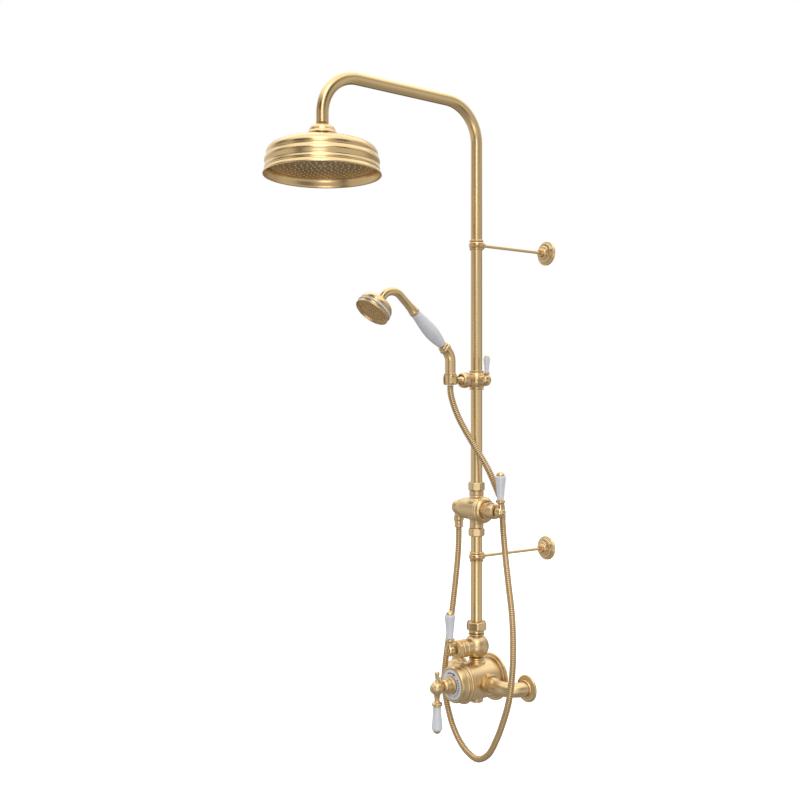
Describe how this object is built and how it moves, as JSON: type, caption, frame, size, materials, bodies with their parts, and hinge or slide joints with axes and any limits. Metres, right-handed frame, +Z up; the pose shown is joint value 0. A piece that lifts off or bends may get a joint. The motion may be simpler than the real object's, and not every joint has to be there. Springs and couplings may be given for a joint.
{
  "type": "rainfall shower column",
  "caption": "Exposed thermostatic shower column: wall mixer, lever valves, riser with overhead rose, and a handset with a hose on a sliding cradle.",
  "frame": {"origin": "middle of the mixer's wall plate, on the wall", "axes": "+X to the right along the wall, +Y into the wall, +Z up along the riser"},
  "size_m": [0.2472, 0.6345, 1.2576],
  "materials": {
    "brass": "brushed satin",
    "face_plate": "brushed satin",
    "raw_brass": "machined",
    "hose": "satin, interlocked coil",
    "ceramic": "glossy glaze",
    "nylon": "matt"
  },
  "bodies": {
    "column": {"riser_arm": "brass", "lower_riser": "brass", "riser_base_nut": "brass", "stay_collar_upper": "brass", "stay_collar_lower": "brass", "stay_rod_upper": "brass", "stay_rod_lower": "brass", "ball_stud": "raw_brass", "mixer_body": "brass", "wall_plate": "brass", "thermostat_cartridge": "raw_brass", "body_plug": "brass", "front_bezel": "brass", "dial_ring": "ceramic", "inlet_nut_left": "brass", "inlet_nut_right": "brass", "inlet_elbow_left": "brass", "inlet_elbow_right": "brass", "wall_flange_left": "brass", "wall_flange_right": "brass", "flow_valve_body": "brass", "flow_valve_bonnet": "brass", "flow_cartridge": "raw_brass", "diverter_body": "brass", "diverter_nut_upper": "brass", "diverter_nut_lower": "brass", "diverter_bonnet": "brass", "diverter_cartridge": "raw_brass", "hose_nut": "brass", "hose": "hose"},
    "wall_rose_upper": {"stay_rose_upper": "brass"},
    "wall_rose_lower": {"stay_rose_lower": "brass"},
    "ball_ring": {"ball_seat": "nylon"},
    "rose_swivel": {"rose_nut": "brass"},
    "rain_rose": {"rose_shell": "brass", "rose_plate": "face_plate"},
    "liner": {"slider_liner": "nylon"},
    "slider": {"slider_body": "brass"},
    "clamp_lever": {"clamp_lever_hub": "brass", "clamp_lever_grip": "ceramic", "clamp_lever_tip": "brass"},
    "cradle": {"cradle": "brass"},
    "handset": {"hose_cone": "brass", "handset_tail": "brass", "handset_grip": "ceramic", "handset_neck": "brass", "handset_ring": "ceramic", "handset_face": "face_plate"},
    "diverter_lever": {"diverter_lever_hub": "brass", "diverter_lever_grip": "ceramic", "diverter_lever_tip": "brass"},
    "flow_lever": {"flow_lever_hub": "brass", "flow_lever_grip": "ceramic", "flow_lever_tip": "brass"},
    "temperature_knob": {"knob_base": "brass", "knob_hub": "brass", "knob_grip": "ceramic", "knob_tip": "brass"},
    "stop_button": {"stop_button": "brass"}
  },
  "joints": [
    {"name": "upper_wall_rose_slide", "type": "slide", "parent": "column", "child": "wall_rose_upper", "axis": [0, 1, 0], "range_m": [-0.1463, 0]},
    {"name": "lower_wall_rose_slide", "type": "slide", "parent": "column", "child": "wall_rose_lower", "axis": [0, 1, 0], "range_m": [-0.1463, 0]},
    {"name": "rose_tilt_forward", "type": "hinge", "parent": "column", "child": "ball_ring", "pos_m": [0, -0.386, 0.993], "axis": [1, 0, 0], "range_deg": [-8, 8]},
    {"name": "rose_tilt_sideways", "type": "hinge", "parent": "ball_ring", "child": "rose_swivel", "pos_m": [0, -0.386, 0.993], "axis": [0, 1, 0], "range_deg": [-8, 8]},
    {"name": "rose_spin", "type": "hinge", "parent": "rose_swivel", "child": "rain_rose", "pos_m": [0, -0.386, 0.993], "axis": [0, 0, 1], "continuous": true},
    {"name": "slider_slide", "type": "slide", "parent": "column", "child": "liner", "axis": [0, 0, 1], "range_m": [-0.16, 0.17], "deforming": ["hose"]},
    {"name": "slider_turn", "type": "hinge", "parent": "liner", "child": "slider", "pos_m": [0, -0.041, 0.576], "axis": [0, 0, 1], "range_deg": [-50, 50], "deforming": ["hose"]},
    {"name": "clamp_lever_turn", "type": "hinge", "parent": "slider", "child": "clamp_lever", "pos_m": [0.03, -0.041, 0.576], "axis": [1, 0, 0], "range_deg": [0, 120]},
    {"name": "cradle_swivel", "type": "hinge", "parent": "slider", "child": "cradle", "pos_m": [0, -0.1055, 0.576], "axis": [0, 1, 0], "range_deg": [-45, 45], "deforming": ["hose"]},
    {"name": "handset_lift", "type": "slide", "parent": "cradle", "child": "handset", "axis": [0, 0, 1], "range_m": [0, 0.03], "deforming": ["hose"]},
    {"name": "diverter_turn", "type": "hinge", "parent": "column", "child": "diverter_lever", "pos_m": [0.069, -0.041, 0.328], "axis": [1, 0, 0], "range_deg": [0, 90]},
    {"name": "flow_turn", "type": "hinge", "parent": "column", "child": "flow_lever", "pos_m": [0, -0.1064, 0.065], "axis": [0, -1, 0], "range_deg": [0, 90]},
    {"name": "temperature_turn", "type": "hinge", "parent": "column", "child": "temperature_knob", "pos_m": [0, -0.137, 0], "axis": [0, -1, 0], "range_deg": [-90, 90]},
    {"name": "stop_button_press", "type": "slide", "parent": "temperature_knob", "child": "stop_button", "axis": [0, 0, -1], "range_m": [0, 0.0025], "stiffness_N_per_m": 300}
  ]
}
